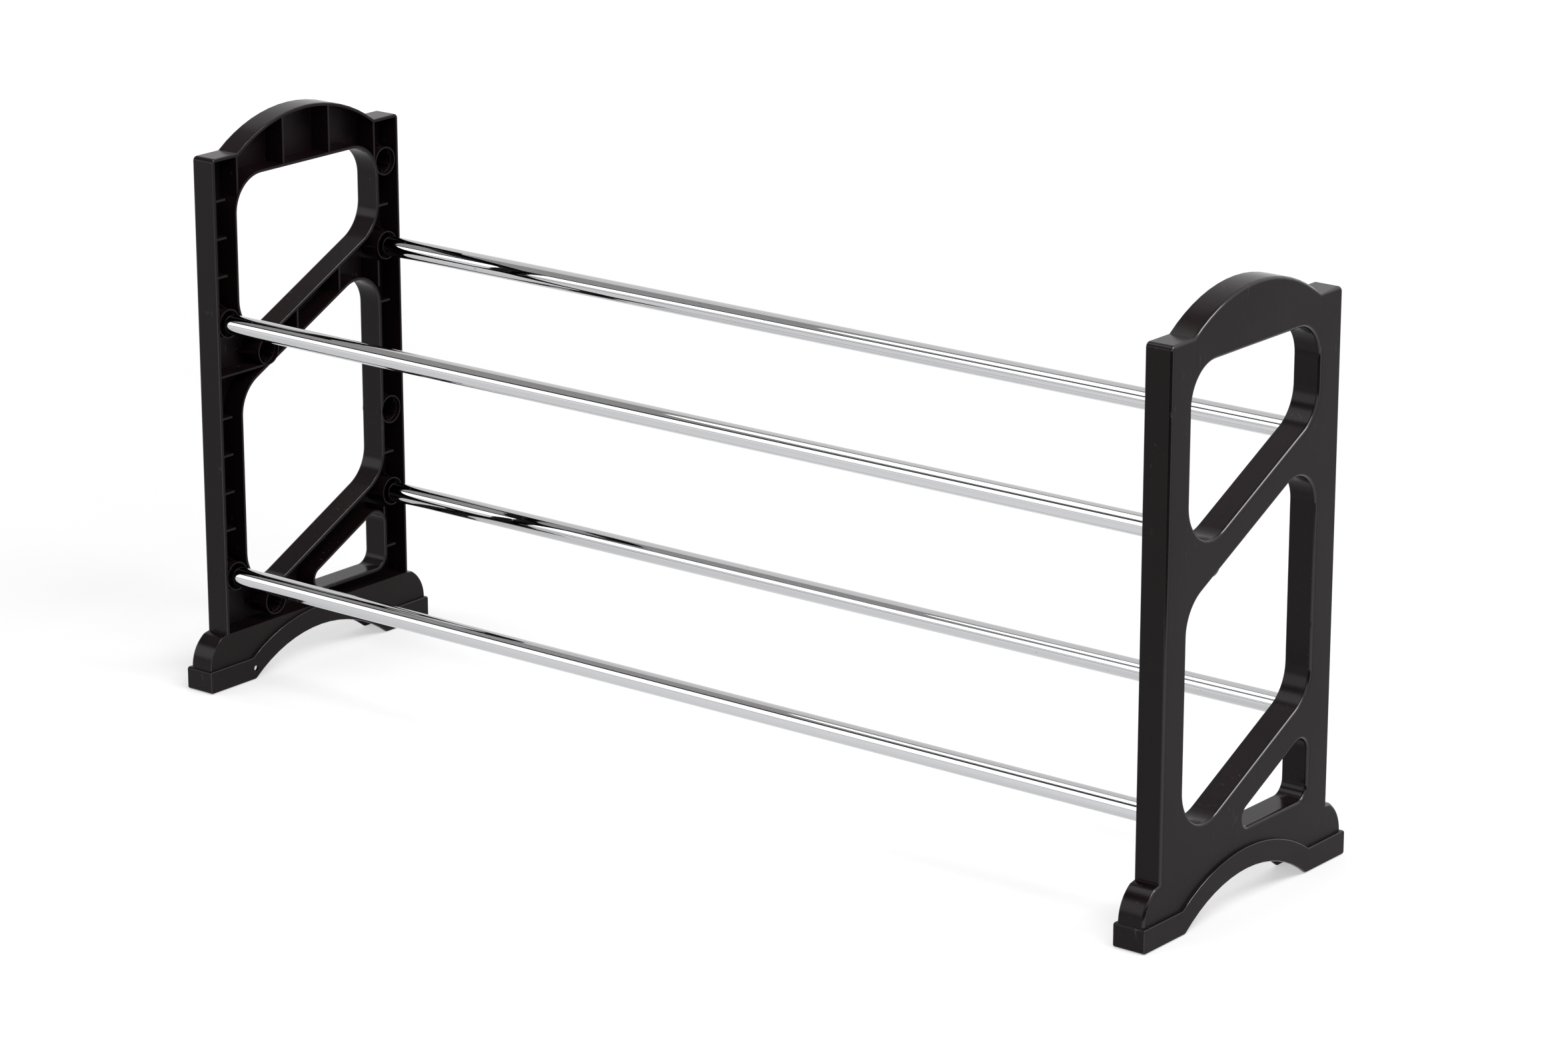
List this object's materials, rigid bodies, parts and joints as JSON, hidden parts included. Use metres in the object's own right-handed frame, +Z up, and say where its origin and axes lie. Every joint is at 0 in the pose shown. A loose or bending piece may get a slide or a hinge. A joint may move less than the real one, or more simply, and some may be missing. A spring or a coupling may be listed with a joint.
{
  "type": "shoe rack",
  "caption": "Low two-tier shoe rack: moulded tray-shaped end frames with sloping bars and stacking feet, joined by slim chrome tubes that carry the shoes.",
  "frame": {"origin": "on the floor, under the middle of the rack", "axes": "+X along the tubes to the right-hand end frame, -Y to the front where the tubes are lower, +Z up"},
  "size_m": [0.7316, 0.2028, 0.361],
  "materials": {
    "end_frame_left": "satin black moulding with a fine grain",
    "end_frame_right": "satin black moulding with a fine grain",
    "tube_upper_front": "bright chrome plate",
    "tube_upper_back": "bright chrome plate",
    "tube_lower_front": "bright chrome plate",
    "tube_lower_back": "bright chrome plate"
  },
  "bodies": {
    "root": {"end_frame_left": "end_frame_left", "end_frame_right": "end_frame_right", "tube_upper_front": "tube_upper_front", "tube_upper_back": "tube_upper_back", "tube_lower_front": "tube_lower_front", "tube_lower_back": "tube_lower_back"}
  },
  "joints": []
}
